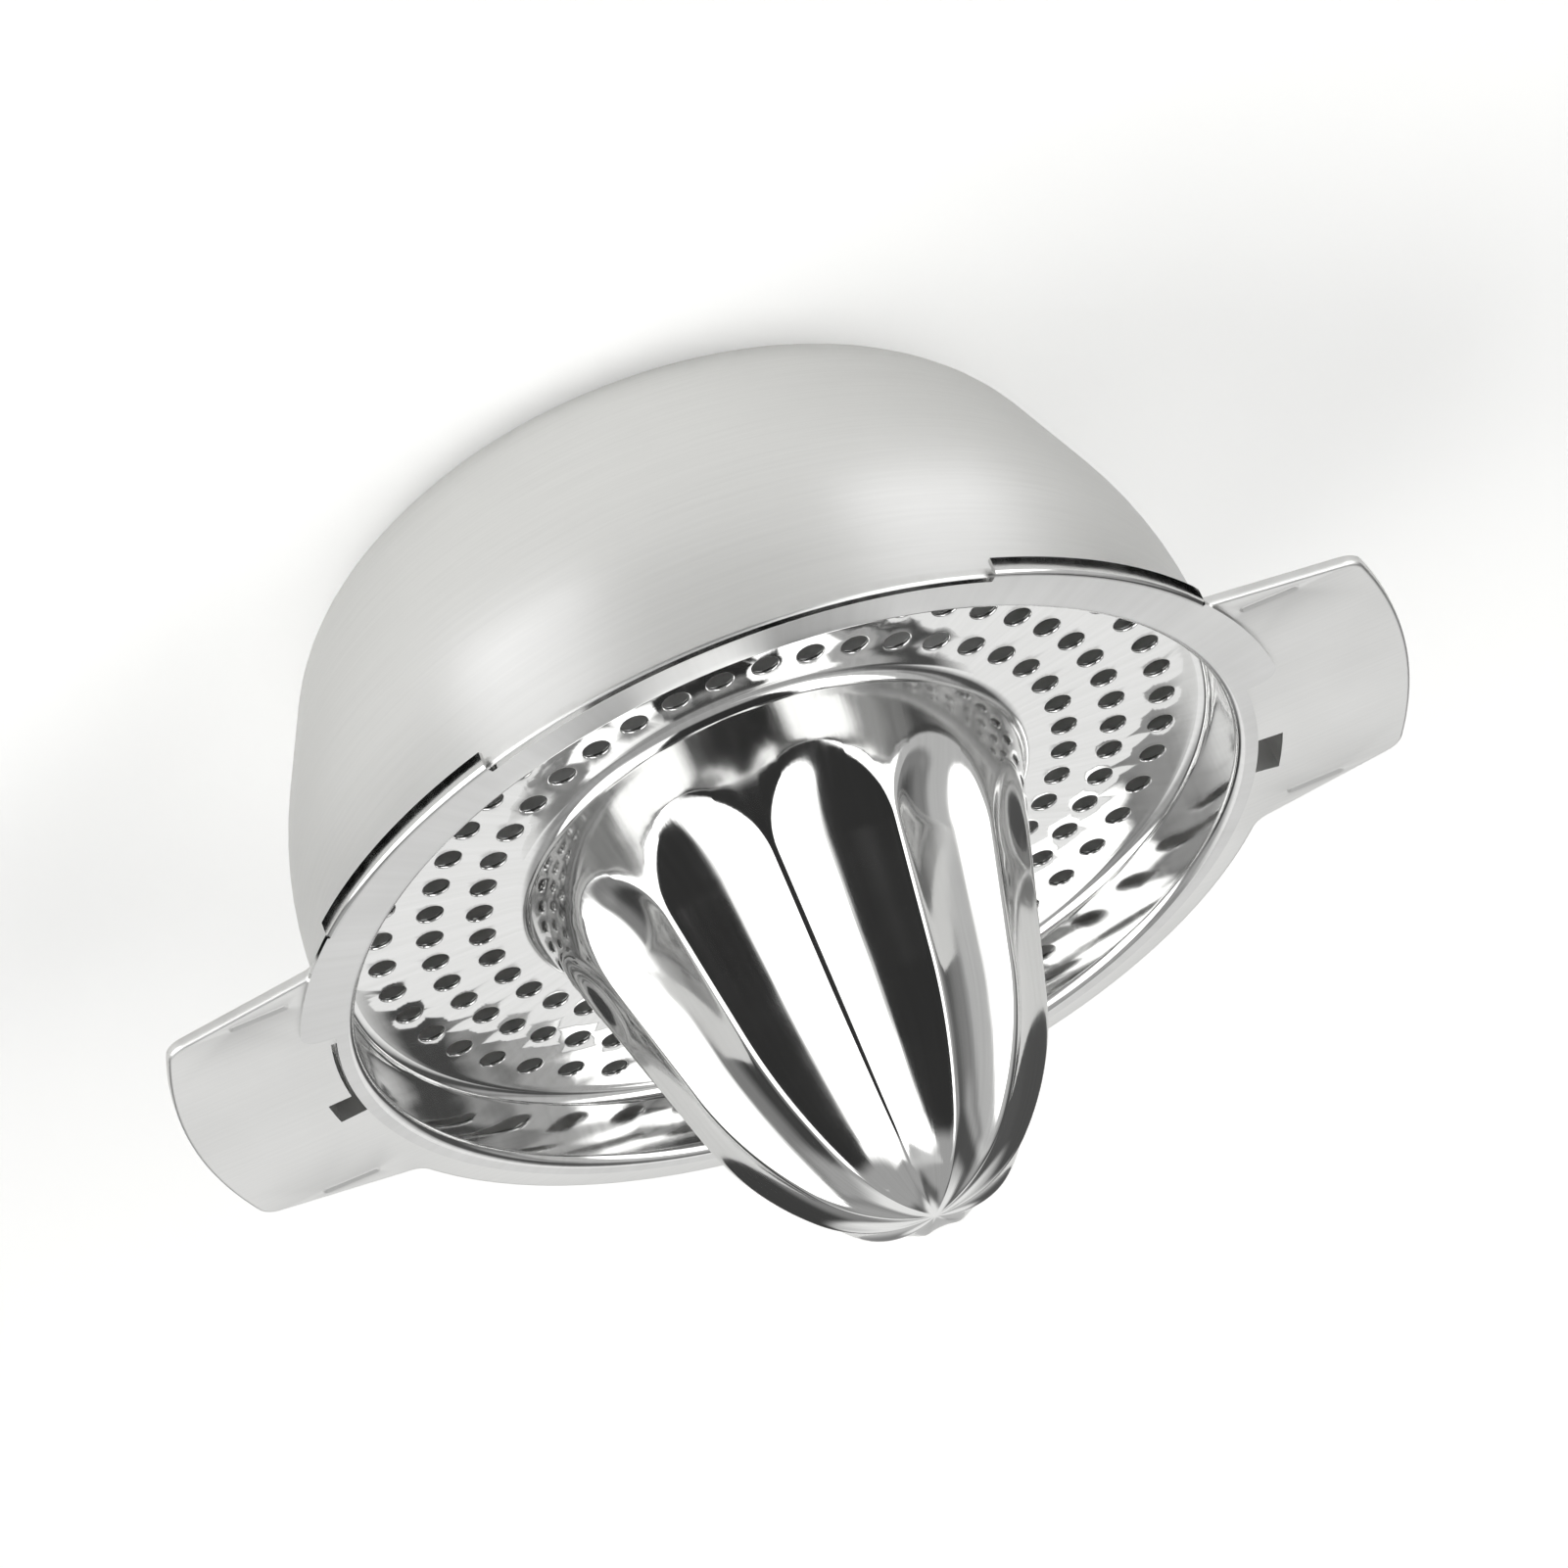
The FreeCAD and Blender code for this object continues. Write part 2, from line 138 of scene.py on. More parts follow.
class Skin:
    """Points and faces of a sheet's upper skin, in millimetres, without doubles."""

    def __init__(self):
        self.points, self.faces, self.known = [], [], {}

    def point(self, x, y, z):
        key = (round(x * 2000), round(y * 2000), round(z * 2000))
        if key not in self.known:
            self.known[key] = len(self.points)
            self.points.append((x, y, z))
        return self.known[key]

    def face(self, corners):
        found = []
        for corner in corners:
            index = self.point(*corner)
            if index not in found:
                found.append(index)
        if len(found) > 2:
            self.faces.append(found)

    def turned(self, profile, angles, skip=None):
        """Sweep (radius, height) points through a list of angles in degrees."""
        ways = on_circle(1.0, angles)
        for (r1, z1), (r2, z2) in zip(profile, profile[1:]):
            for k, (c1, s1) in enumerate(ways[:-1]):
                c2, s2 = ways[k + 1]
                if skip and skip((angles[k] + angles[k + 1]) / 2, (z1 + z2) / 2):
                    continue
                self.face([(r1 * c1, r1 * s1, z1), (r2 * c1, r2 * s1, z2),
                           (r2 * c2, r2 * s2, z2), (r1 * c2, r1 * s2, z1)])

    def mesh(self, name):
        data = bpy.data.meshes.new(name)
        data.from_pydata([[c * MM for c in p] for p in self.points], [], self.faces)
        data.validate()
        return data


def new_object(name, data):
    """Put a mesh into the scene as an object."""
    obj = bpy.data.objects.new(name, data)
    scene.collection.objects.link(obj)
    return obj


# %% [markdown]
# ## Flat parts with holes
# The strainer's floor, its rim and the bowl's flange are flat sheet with an outline and holes. They
# are filled with Geometry Nodes: the outlines go in as loops, the tree adds the perforations, which
# repeat round the axis, as small circles on rings of points, and Fill Curve makes the flat sheet
# between them. The sizes of the holes are inputs of the tree, so that one tree serves every part.
# A punched hole has a small rolled edge, and that edge is what catches the light round each hole.

# %% A small function that adds a node
def add(tree, kind, settings=None, links=None):
    """Add a node, set its properties or inputs, and link inputs to other nodes or their outputs."""
    node = tree.nodes.new(kind)
    for key, value in (settings or {}).items():
        if isinstance(key, str) and hasattr(node, key):
            setattr(node, key, value)
        else:
            node.inputs[key].default_value = value
    for key, source in (links or {}).items():
        socket = source.outputs[0] if hasattr(source, "outputs") else source
        tree.links.new(socket, node.inputs[key])
    return node


# %% The rolled edge of one hole
def rolled_hole_edge(tree, circle, edge):
    """A quarter of a roll, grown from a circle in three steps: inwards and down by the edge's size."""
    place = add(tree, "GeometryNodeInputPosition")
    outwards = add(tree, "ShaderNodeVectorMath", {"operation": "NORMALIZE"}, {0: place})
    rolled, last_edge = circle, None
    for step in (1, 2, 3):
        past, now = radians(30.0 * (step - 1)), radians(30.0 * step)
        inward_step = add(tree, "ShaderNodeMath", {"operation": "MULTIPLY", 1: sin(past) - sin(now)},
                          {0: edge})
        inwards = add(tree, "ShaderNodeVectorMath", {"operation": "SCALE"},
                      {0: outwards, "Scale": inward_step})
        down_step = add(tree, "ShaderNodeMath", {"operation": "MULTIPLY", 1: cos(now) - cos(past)},
                        {0: edge})
        down = add(tree, "ShaderNodeCombineXYZ", links={"Z": down_step})
        move = add(tree, "ShaderNodeVectorMath", {"operation": "ADD"}, {0: inwards, 1: down})
        links = {"Mesh": rolled, "Offset": move}
        if last_edge:
            links["Selection"] = last_edge
        grown = add(tree, "GeometryNodeExtrudeMesh", {"mode": "EDGES"}, links)
        rolled, last_edge = grown.outputs["Mesh"], grown.outputs["Top"]
    return rolled


# %% Holes on rings
def holes_on_rings(tree, inputs, shapes):
    """Each shape repeated on the three rings, as one list of geometry for each shape."""
    found = [[] for _ in shapes]
    for number in (1, 2, 3):
        ring = add(tree, "GeometryNodeMeshCircle",
                   links={"Vertices": inputs[f"Ring {number} count"],
                          "Radius": inputs[f"Ring {number} radius"]})
        angle = add(tree, "ShaderNodeMath", {"operation": "RADIANS"},
                    {0: inputs[f"Ring {number} first angle"]})
        turn = add(tree, "ShaderNodeCombineXYZ", links={"Z": angle})
        for shape, kept in zip(shapes, found):
            holes = add(tree, "GeometryNodeInstanceOnPoints",
                        links={"Points": ring.outputs["Mesh"], "Instance": shape})
            turned = add(tree, "GeometryNodeTransform", links={"Geometry": holes, "Rotation": turn})
            kept.append(turned.outputs[0])
    return found


# %% Tree that fills outlines and perforates the sheet
hole_diameter, hole_edge, hole_sides = 3.0, 0.16, 20


def flat_sheet_tree():
    tree = bpy.data.node_groups.new("perforated flat sheet", "GeometryNodeTree")
    sockets = [("Outlines", "Geometry")]
    for number in (1, 2, 3):
        sockets += [(f"Ring {number} radius", "Float"), (f"Ring {number} count", "Int"),
                    (f"Ring {number} first angle", "Float")]
    sockets += [("Hole diameter", "Float"), ("Hole edge", "Float"), ("Height", "Float"),
                ("Material", "Material")]
    for label, kind in sockets:
        tree.interface.new_socket(label, in_out="INPUT", socket_type=f"NodeSocket{kind}")
    tree.interface.new_socket("Sheet", in_out="OUTPUT", socket_type="NodeSocketGeometry")
    inputs = tree.nodes.new("NodeGroupInput").outputs
    outlines = add(tree, "GeometryNodeMeshToCurve", links={"Mesh": inputs["Outlines"]})
    edge_radius = add(tree, "ShaderNodeMath", {"operation": "MULTIPLY_ADD", 1: 0.5},
                      {0: inputs["Hole diameter"], 2: inputs["Hole edge"]})
    cut = add(tree, "GeometryNodeMeshCircle", {"Vertices": hole_sides}, {"Radius": edge_radius})
    cut_curve = add(tree, "GeometryNodeMeshToCurve", links={"Mesh": cut.outputs["Mesh"]})
    rolled = rolled_hole_edge(tree, cut.outputs["Mesh"], inputs["Hole edge"])
    cuts, rolls = holes_on_rings(tree, inputs, (cut_curve.outputs["Curve"], rolled))
    joined = add(tree, "GeometryNodeJoinGeometry")
    for loop in reversed([outlines.outputs["Curve"]] + cuts):
        tree.links.new(loop, joined.inputs[0])
    real = add(tree, "GeometryNodeRealizeInstances", links={0: joined})
    filled = add(tree, "GeometryNodeFillCurve", links={"Curve": real})
    whole = add(tree, "GeometryNodeJoinGeometry")
    for piece in rolls + [filled.outputs[0]]:
        tree.links.new(piece, whole.inputs[0])
    lift = add(tree, "ShaderNodeCombineXYZ", links={"Z": inputs["Height"]})
    raised = add(tree, "GeometryNodeTransform", links={"Geometry": whole, "Translation": lift})
    again = add(tree, "GeometryNodeRealizeInstances", links={0: raised})
    painted = add(tree, "GeometryNodeSetMaterial",
                  links={"Geometry": again, "Material": inputs["Material"]})
    add(tree, "NodeGroupOutput", links={0: painted})
    return tree


flat_tree = flat_sheet_tree()
print("flat sheet tree", len(flat_tree.nodes), "nodes")


# %% Fill the outlines of one flat part
def evaluated_mesh(obj):
    """What an object's modifiers make of it, as a plain mesh. The object itself goes."""
    depsgraph = bpy.context.evaluated_depsgraph_get()
    made = bpy.data.meshes.new_from_object(obj.evaluated_get(depsgraph))
    bpy.data.objects.remove(obj)
    return made


def set_inputs(modifier, values):
    """Give a modifier's tree its sizes, by the sockets' identifiers."""
    for item in modifier.node_group.interface.items_tree:
        if item.in_out == "INPUT" and item.name in values:
            modifier[item.identifier] = values[item.name]


def flat_sheet(name, loops, height, rings=()):
    """Fill closed loops of (x, y) points, with rings of holes, and return the flat faces' mesh."""
    points, edges = [], []
    for loop in loops:
        start = len(points)
        points += [(x * MM, y * MM, 0) for x, y in loop]
        edges += [(start + k, start + (k + 1) % len(loop)) for k in range(len(loop))]
    data = bpy.data.meshes.new(name)
    data.from_pydata(points, edges, [])
    obj = new_object(name, data)
    modifier = obj.modifiers.new("flat sheet", "NODES")
    modifier.node_group = flat_tree
    values = {"Hole diameter": hole_diameter * MM, "Hole edge": hole_edge * MM, "Height": height * MM}
    for number in (1, 2, 3):
        radius, count, first = rings[number - 1] if number <= len(rings) else (0.0, 0, 0.0)
        values[f"Ring {number} radius"] = radius * MM
        values[f"Ring {number} count"] = count
        values[f"Ring {number} first angle"] = first
    set_inputs(modifier, values)
    flat = evaluated_mesh(obj)
    print(name, len(flat.polygons), "flat faces")
    return flat


def add_flat(skin, flat):
    """Take the faces of a flat sheet into a net, all of them facing up."""
    for polygon in flat.polygons:
        corners = [tuple(c / MM for c in flat.vertices[v].co) for v in polygon.vertices]
        if len(corners) > 2:
            skin.face(corners if polygon.normal.z > 0 else corners[::-1])


# %% [markdown]
# ## The fluted cone
# The reaming cone is turned sheet with eleven flutes pressed into it. A flute is a hollow of one
# radius between two ridges. It keeps its share of the way round, so it grows narrower and shallower
# as the cone does, and runs to the very tip. At its foot it ends round, like a fingertip. Sculpting
# eleven flutes alike by hand would be slow and uneven, so one rule gives the depth at any place.

# %% How deep a flute is
cone_height, cone_foot, cone_foot_bend = 50.3, 28.6, 1.85
cone_lean, cone_shoulder_lean, cone_shoulder_bend, cone_tip_radius = 15.6, 41.6, 36.0, 16.3
flute_count, flute_arc, flute_foot, ridge_width, first_ridge = 11, 46.0, 15.7, 0.9, 13.7
half_step = radians(180.0 / flute_count)
foot_radius = cone_foot - flute_foot * tan(radians(cone_lean))
half_flute = half_step - ridge_width / 2 / foot_radius
hollow_radius = foot_radius * sin(half_flute) / sin(radians(flute_arc / 2))
hollow_centre = foot_radius * cos(half_flute) + hollow_radius * cos(radians(flute_arc / 2))
print("flute", round(2 * half_flute * foot_radius, 1), "mm wide at its foot, and",
      round(foot_radius - hollow_centre + hollow_radius, 2), "mm deep")


def flute_depth(radius, height, angle):
    """How far the sheet lies inside the plain cone, at an angle from the middle of a flute."""
    above = height >= floor_height + flute_foot
    below = np.clip(floor_height + flute_foot - height, 0, None)
    spread = np.sqrt(np.clip(hollow_radius ** 2 - (radius * sin(half_flute)) ** 2, 0, None))
    centre = np.where(above, radius * cos(half_flute) + spread, radius + hollow_centre - foot_radius)
    inside = hollow_radius ** 2 - below ** 2 - (centre * np.sin(angle)) ** 2
    depth = radius - centre * np.cos(angle) + np.sqrt(np.clip(inside, 0, None))
    soft = 0.5 * np.clip(radius / foot_radius, 0.04, 1.0) + 0.5 * np.clip(below / 8.0, 0, 1)
    near_edge = np.clip(1 - np.abs(depth) / soft, 0, 1)
    return np.clip(depth, 0, None) + near_edge ** 2 * soft / 4


# %% [markdown]
# ## One flute, repeated
# One flute's share of the cone is a small grid of faces. The plain cone's cross-section gives its
# rows. Its columns crowd together at the ridges, where the sheet turns fastest. Every point is moved
# in by the flute's depth there, square to the plain cone, so the ridges stay crisp on the dome too.
# Geometry Nodes repeat the grid round the axis.

# %% Cross-section of the plain cone
def cone_profile():
    """Corners and bends of the upper skin, from the cone's tip to a little way out on the floor."""
    run_out = 2.2
    side, slope = tan(radians(cone_lean)), tan(radians(cone_shoulder_lean))
    dome = cone_tip_radius * tan(radians(45 - cone_shoulder_lean / 2))
    shoulder = (cone_foot - dome - cone_height * slope) / (side - slope)
    corners = [(0, floor_height + cone_height), (dome, floor_height + cone_height),
               (cone_foot - shoulder * side, floor_height + shoulder), (cone_foot, floor_height),
               (cone_foot + run_out, floor_height)]
    return corners, (cone_tip_radius, cone_shoulder_bend + sheet, cone_foot_bend)


# %% One flute's share of the cone
def ridge_edge(radius, height):
    """The angle at each row where the flute grows shallow and the ridge begins."""
    shallow = 0.13
    low, high = np.zeros(len(radius)), np.full(len(radius), half_step)
    for _ in range(30):
        middle = (low + high) / 2
        inside = flute_depth(radius, height, middle) > shallow
        low, high = np.where(inside, middle, low), np.where(inside, high, middle)
    return np.clip(low, half_step * 0.5, half_step * 0.93)


def flute_share(hollow_columns=8):
    """Half a flute each side of its middle: a grid of points, tip first."""
    corners, radii = cone_profile()
    rows = np.array(rounded(corners, radii, 3.0, 0.55))
    radius, height = rows[:, 0], rows[:, 1]
    along = np.gradient(rows, axis=0)
    along /= np.linalg.norm(along, axis=1)[:, None]
    edge = ridge_edge(radius, height)[:, None]
    crest = edge * 0.97
    ease = np.sin(np.linspace(0, pi / 2, hollow_columns))[None, :]
    over_ridge = np.array((0.33, 0.66, 1.0))[None, :]
    shares = np.concatenate((ease * edge * 0.97, crest + (half_step - crest) * over_ridge), axis=1)
    angles = np.concatenate((-shares[:, :0:-1], shares), axis=1)
    depth = flute_depth(radius[:, None], height[:, None], angles)
    depth *= np.clip(radius[:, None] / 1.5, 0, 1)
    pressed = radius[:, None] + along[:, 1:] * depth
    return np.stack((pressed * np.cos(angles), pressed * np.sin(angles),
                     height[:, None] - along[:, :1] * depth), -1)


# %% Repeat it round the axis
def repeat_round_tree():
    tree = bpy.data.node_groups.new("repeat round the axis", "GeometryNodeTree")
    for label, kind in (("Share", "Geometry"), ("Count", "Int"), ("First angle", "Float"),
                        ("Material", "Material")):
        tree.interface.new_socket(label, in_out="INPUT", socket_type=f"NodeSocket{kind}")
    tree.interface.new_socket("Ring", in_out="OUTPUT", socket_type="NodeSocketGeometry")
    inputs = tree.nodes.new("NodeGroupInput").outputs
    points = add(tree, "GeometryNodePoints", links={"Count": inputs["Count"]})
    number = add(tree, "GeometryNodeInputIndex")
    step = add(tree, "ShaderNodeMath", {"operation": "DIVIDE", 0: 2 * pi}, {1: inputs["Count"]})
    first = add(tree, "ShaderNodeMath", {"operation": "RADIANS"}, {0: inputs["First angle"]})
    angle = add(tree, "ShaderNodeMath", {"operation": "MULTIPLY_ADD"},
                {0: number, 1: step, 2: first})
    turn = add(tree, "ShaderNodeCombineXYZ", links={"Z": angle})
    copies = add(tree, "GeometryNodeInstanceOnPoints",
                 links={"Points": points, "Instance": inputs["Share"],
                        "Rotation": turn})
    real = add(tree, "GeometryNodeRealizeInstances", links={0: copies})
    merged = add(tree, "GeometryNodeMergeByDistance", {"Distance": 0.000002}, {"Geometry": real})
    painted = add(tree, "GeometryNodeSetMaterial",
                  links={"Geometry": merged, "Material": inputs["Material"]})
    add(tree, "NodeGroupOutput", links={0: painted})
    return tree


# %% The whole cone
def fluted_cone(skin):
    """Add the whole cone to a net, and return the radius at which it ends on the floor."""
    share = Skin()
    grid = flute_share()
    for row in range(len(grid) - 1):
        for column in range(grid.shape[1] - 1):
            share.face([tuple(grid[row, column]), tuple(grid[row + 1, column]),
                        tuple(grid[row + 1, column + 1]), tuple(grid[row, column + 1])])
    obj = new_object("flute", share.mesh("flute"))
    modifier = obj.modifiers.new("round the axis", "NODES")
    modifier.node_group = repeat_round_tree()
    set_inputs(modifier, {"Count": flute_count, "First angle": first_ridge + 180.0 / flute_count})
    whole = evaluated_mesh(obj)
    for polygon in whole.polygons:
        skin.face([tuple(c / MM for c in whole.vertices[v].co) for v in polygon.vertices])
    print("cone", len(whole.polygons), "faces")
    return max(v.co.xy.length for v in whole.vertices) / MM


# %% [markdown]
# ## The strainer
# Below the cone the sheet runs out flat as the perforated floor, turns up into the collar, rolls over
# the bowl's mouth as the lip, and on the near side widens into a rim with a lug over each handle. Each
# lug's edge is folded down as a skirt, which keeps the strainer from turning. The skirt's bend is
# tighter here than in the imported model, because light shows how sharp a bend is.

# %% Sizes of the strainer
collar_clearance, floor_bend, lip_bend = 0.65, 1.5, 0.6
lip_radius, apron_radius, lug_radius = 52.8, 55.4, 56.75
lug_start, skirt_end, lug_end, lug_corner = 29.5, 60.0, 81.3, 2.2
skirt_drop, skirt_bend = 2.1, 0.05
hole_rings = ((33.7, 42, 6.7), (39.4, 48, 0.7), (45.1, 48, 4.45))
lie_turn, lie_side, lie_near = -3.4, 0.15, 0.3
fold_start = lug_radius - skirt_bend - sheet
print(sum(count for _, count, _ in hole_rings), "holes in the floor")


# %% Outline of the rim
def between_angles(angles, start, end):
    return [a for a in angles if start - hair <= a <= end + hair]


def rim_outline(angles):
    """The lip's circle, wider on the near side, with a lug at each end of the wide part."""
    near_left, near_right = -90 - lug_end, -90 + lug_end
    corner = degrees(lug_corner / lug_radius)
    rounding = [(lug_radius - lug_corner + lug_corner * sin(radians(18 * k)),
                 lug_end - corner + corner * cos(radians(18 * k))) for k in range(6)]
    outline = on_circle(lip_radius, [a for a in angles[:-1] if a > near_right + hair])
    outline += on_circle(lip_radius, [a for a in angles if a < near_left - hair] + [near_left])
    outline += [on_circle(r, [-90 - a])[0] for r, a in rounding]
    for radius, start, end in ((lug_radius, near_left + corner + 0.1, -90 - skirt_end),
                               (fold_start, -90 - skirt_end, -90 - lug_start),
                               (apron_radius, -90 - lug_start, -90 + lug_start),
                               (fold_start, -90 + lug_start, -90 + skirt_end),
                               (lug_radius, -90 + skirt_end, near_right - corner - 0.1)):
        outline += on_circle(radius, between_angles(angles, start, end))
    outline += [on_circle(r, [-90 + a])[0] for r, a in rounding[::-1]]
    return outline + on_circle(lip_radius, [near_right])


# %% The strainer's skin
def strainer_skin():
    skin = Skin()
    cone_end = fluted_cone(skin)
    collar = bowl_radius - sheet - collar_clearance - sheet
    flat_end, lip_start = collar - floor_bend - 0.4, lip_radius - 0.3
    profile = rounded([(flat_end, floor_height), (collar, floor_height), (collar, rim_height),
                       (lip_start, rim_height)], (floor_bend, lip_bend + sheet), 12.0, 4.0)
    marks = [-90 + sign * a for sign in (-1, 1) for a in (lug_start, skirt_end, lug_end)]
    angles = sorted(set([round(-180 + 360 * k / 240, 4) for k in range(241)] + marks))
    skin.turned(profile, angles)
    cone_foot_loop = sorted(
        set((round(x, 4), round(y, 4)) for x, y, z in skin.points
            if abs(hypot(x, y) - cone_end) < 0.001 and abs(z - floor_height) < 1e-3),
        key=lambda p: atan2(p[1], p[0]))
    floor_loops = [on_circle(flat_end, angles[:-1]), cone_foot_loop]
    add_flat(skin, flat_sheet("floor", floor_loops, floor_height, hole_rings))
    rim_loops = [rim_outline(angles), on_circle(lip_start, angles[:-1])]
    add_flat(skin, flat_sheet("rim", rim_loops, rim_height))
    skirt = rounded([(fold_start, rim_height), (lug_radius, rim_height),
                     (lug_radius, rim_height - skirt_drop)], (skirt_bend + sheet - 1e-4,), 15.0)
    for start, end in ((-90 - skirt_end, -90 - lug_start), (-90 + lug_start, -90 + skirt_end)):
        skin.turned(skirt, between_angles(angles, start, end))
    return skin


# %% [markdown]
# ## From skin to sheet
# Solidify gives a skin the thickness of the sheet, downwards, so that what is seen from above stays
# where it was drawn. Cut edges stay crisp and bends stay soft, because only edges sharper than 32
# degrees break the shading. The strainer lies in the bowl a little turned and shifted, as loose parts
# do, and that place goes into its mesh. The edges are counted, because a sheet with an open edge would
# not be a closed piece.

# %% Give a skin the thickness of the sheet
crisp_from = 32.0


def pressing(name, skin, turn=0.0, shift=(0.0, 0.0)):
    """A net of faces as a sheet-metal piece, with crisp cut edges and soft bends."""
    data = skin.mesh(name)
    data.transform(Matrix.Translation((shift[0] * MM, shift[1] * MM, 0))
                   @ Matrix.Rotation(radians(turn), 4, "Z"))
    obj = new_object(name, data)
    solidify = obj.modifiers.new("sheet", "SOLIDIFY")
    solidify.thickness, solidify.offset, solidify.use_even_offset = sheet * MM, -1.0, False
    depsgraph = bpy.context.evaluated_depsgraph_get()
    solid = bpy.data.meshes.new_from_object(obj.evaluated_get(depsgraph))
    obj.modifiers.clear()
    obj.data = solid
    solid.polygons.foreach_set("use_smooth", [True] * len(solid.polygons))
    solid.set_sharp_from_angle(angle=radians(crisp_from))
    solid.name = name
    edges = bmesh.new()
    edges.from_mesh(solid)
    open_edges = sum(1 for e in edges.edges if len(e.link_faces) != 2)
    triangles = sum(len(f.verts) - 2 for f in edges.faces)
    edges.free()
    print(name, triangles, "triangles,", open_edges, "open edges")
    return obj


strainer = pressing("strainer_pressing", strainer_skin(), lie_turn, (-lie_side, -lie_near))

# %% [markdown]
# ## The bowl's plate
# The bowl is deep-drawn: a flat base, a wide corner, a wall that leans out and then stands upright, and
# a flange that is one flat plate with both handles. The plate's edge is turned down all round. Its
# outline could be traced by eye with a curve, but its corners are true arcs. So it is worked out for a
# quarter and mirrored, as circles that run into each other without a kink, and an inset of the same
# outline gives each row of the turned-down edge.

# %% Sizes of the plate
flange_radius, edge_drop, edge_round = 55.9, 1.15, 0.45
handle_reach, handle_root_width, handle_end_width = 71.0, 49.0, 41.6
handle_corner, handle_root_corner = 2.8, 2.5
print("over the handles", 2 * handle_reach, "mm")


# %% Outline of the flange with both handles
def arc_points(centre, radius, start, end, count):
    return [(centre[0] + radius * cos(start + (end - start) * k / count),
             centre[1] + radius * sin(start + (end - start) * k / count)) for k in range(count + 1)]


def plate_outline():
    """The plate's outline, anticlockwise from the middle of the right handle's end."""
    half_root, half_end = handle_root_width / 2, handle_end_width / 2
    root = np.array((sqrt(flange_radius ** 2 - half_root ** 2), half_root))
    end = np.array((sqrt(handle_reach ** 2 - half_end ** 2), half_end))
    along = (root - end) / np.linalg.norm(root - end)
    out = np.array((-along[1], along[0])) * (1 if along[0] < 0 else -1)
    out = out if out[1] > 0 else -out

    def meet(offset, reach):
        """Where the handle's side, moved out by the offset, meets a circle of that reach."""
        base = end + out * offset
        b, c = base @ along, base @ base - reach ** 2
        places = [base + along * t for t in (-b - sqrt(b * b - c), -b + sqrt(b * b - c))]
        return min(places, key=lambda p: np.linalg.norm(p - (end + root) / 2))

    convex = meet(-handle_corner, handle_reach - handle_corner)
    concave = meet(handle_root_corner, flange_radius + handle_root_corner)
    end_angle, side_angle = atan2(convex[1], convex[0]), atan2(out[1], out[0])
    root_angle = atan2(concave[1], concave[0])
    quarter = arc_points((0, 0), handle_reach, 0, end_angle, 12)[:-1]
    quarter += arc_points(convex, handle_corner, end_angle, side_angle, 8)
    quarter += arc_points(concave, handle_root_corner, side_angle - pi, root_angle - pi, 7)
    quarter += arc_points((0, 0), flange_radius, root_angle, pi / 2, 40)[1:]
    upper = quarter + [(-x, y) for x, y in quarter[-2::-1]]
    return upper + [(x, -y) for x, y in upper[-2:0:-1]]


def inset(loop, distance):
    """A closed anticlockwise loop moved inwards."""
    points = np.array(loop)
    ways = np.roll(points, -1, 0) - np.roll(points, 1, 0)
    ways /= np.linalg.norm(ways, axis=1)[:, None]
    return points + np.stack((-ways[:, 1], ways[:, 0]), 1) * distance


# %% [markdown]
# ## Vents
# At each handle's root a small vent is pressed out of the mouth, where juice is poured. It is a
# pocket with a floor, an outer wall and two ends. A Boolean would cut it too, but would leave ragged
# triangles in a wall that mirrors light. So the wall of the bowl is left open there, and the pocket's
# faces close it. One side has a narrow slit beside its vent, which is a pocket as deep as the vent but
# narrower.

# %% Vents and the slit
vent_radius, vent_depth = 56.0, 5.0
right_vent, left_vent = (3.1, 7.6), (7.9, 15.0)
slit_radius, slit_start = 53.25, -10.2


def pockets():
    """Each pocket as (start, end, outer radius) pieces, in degrees from +X."""
    slit = (slit_start, right_vent[0], slit_radius)
    right_side = [slit, (right_vent[0], right_vent[1], vent_radius)]
    left_side = [(180 - left_vent[1], 180 - left_vent[0], vent_radius)]
    return [right_side, left_side]


def in_pocket(angle, height):
    angle = (angle + 180) % 360 - 180
    return height > bowl_height - vent_depth and any(
        start < angle < end for pocket in pockets() for start, end, _ in pocket)


# %% Faces of one pocket
def add_pocket(skin, pocket, wall, angles):
    """Floor, outer wall and ends of one pocket; wall is the bowl's skin from there to the flange."""
    bottom = bowl_height - vent_depth
    inner = wall[0][0]
    for start, end, outer in pocket:
        skin.turned([(inner, bottom), (outer, bottom), (outer, bowl_height)],
                    between_angles(angles, start, end))
    for angle, outer, side in ((pocket[0][0], pocket[0][2], 1), (pocket[-1][1], pocket[-1][2], -1)):
        c, s = cos(radians(angle)), sin(radians(angle))
        ring = [(r * c, r * s, z) for r, z in wall]
        ring += [(outer * c, outer * s, bowl_height), (outer * c, outer * s, bottom)]
        skin.face(ring[::side])
    for (_, angle, near), (_, _, far) in zip(pocket, pocket[1:]):
        c, s = cos(radians(angle)), sin(radians(angle))
        ring = [(near * c, near * s, bottom), (near * c, near * s, bowl_height),
                (far * c, far * s, bowl_height), (far * c, far * s, bottom)]
        skin.face(ring)


# %% [markdown]
# ## Creases
# Beside each handle's root two short creases are pressed into the plate to stiffen it. They are only
# 0.22 mm deep, but on steel that much bends a reflection, so they are modelled and not painted.

# %% Stiffening creases
crease_length, crease_width, crease_start, crease_side, crease_depth = 7.0, 1.3, 54.2, 20.7, 0.22
crease_points = 28


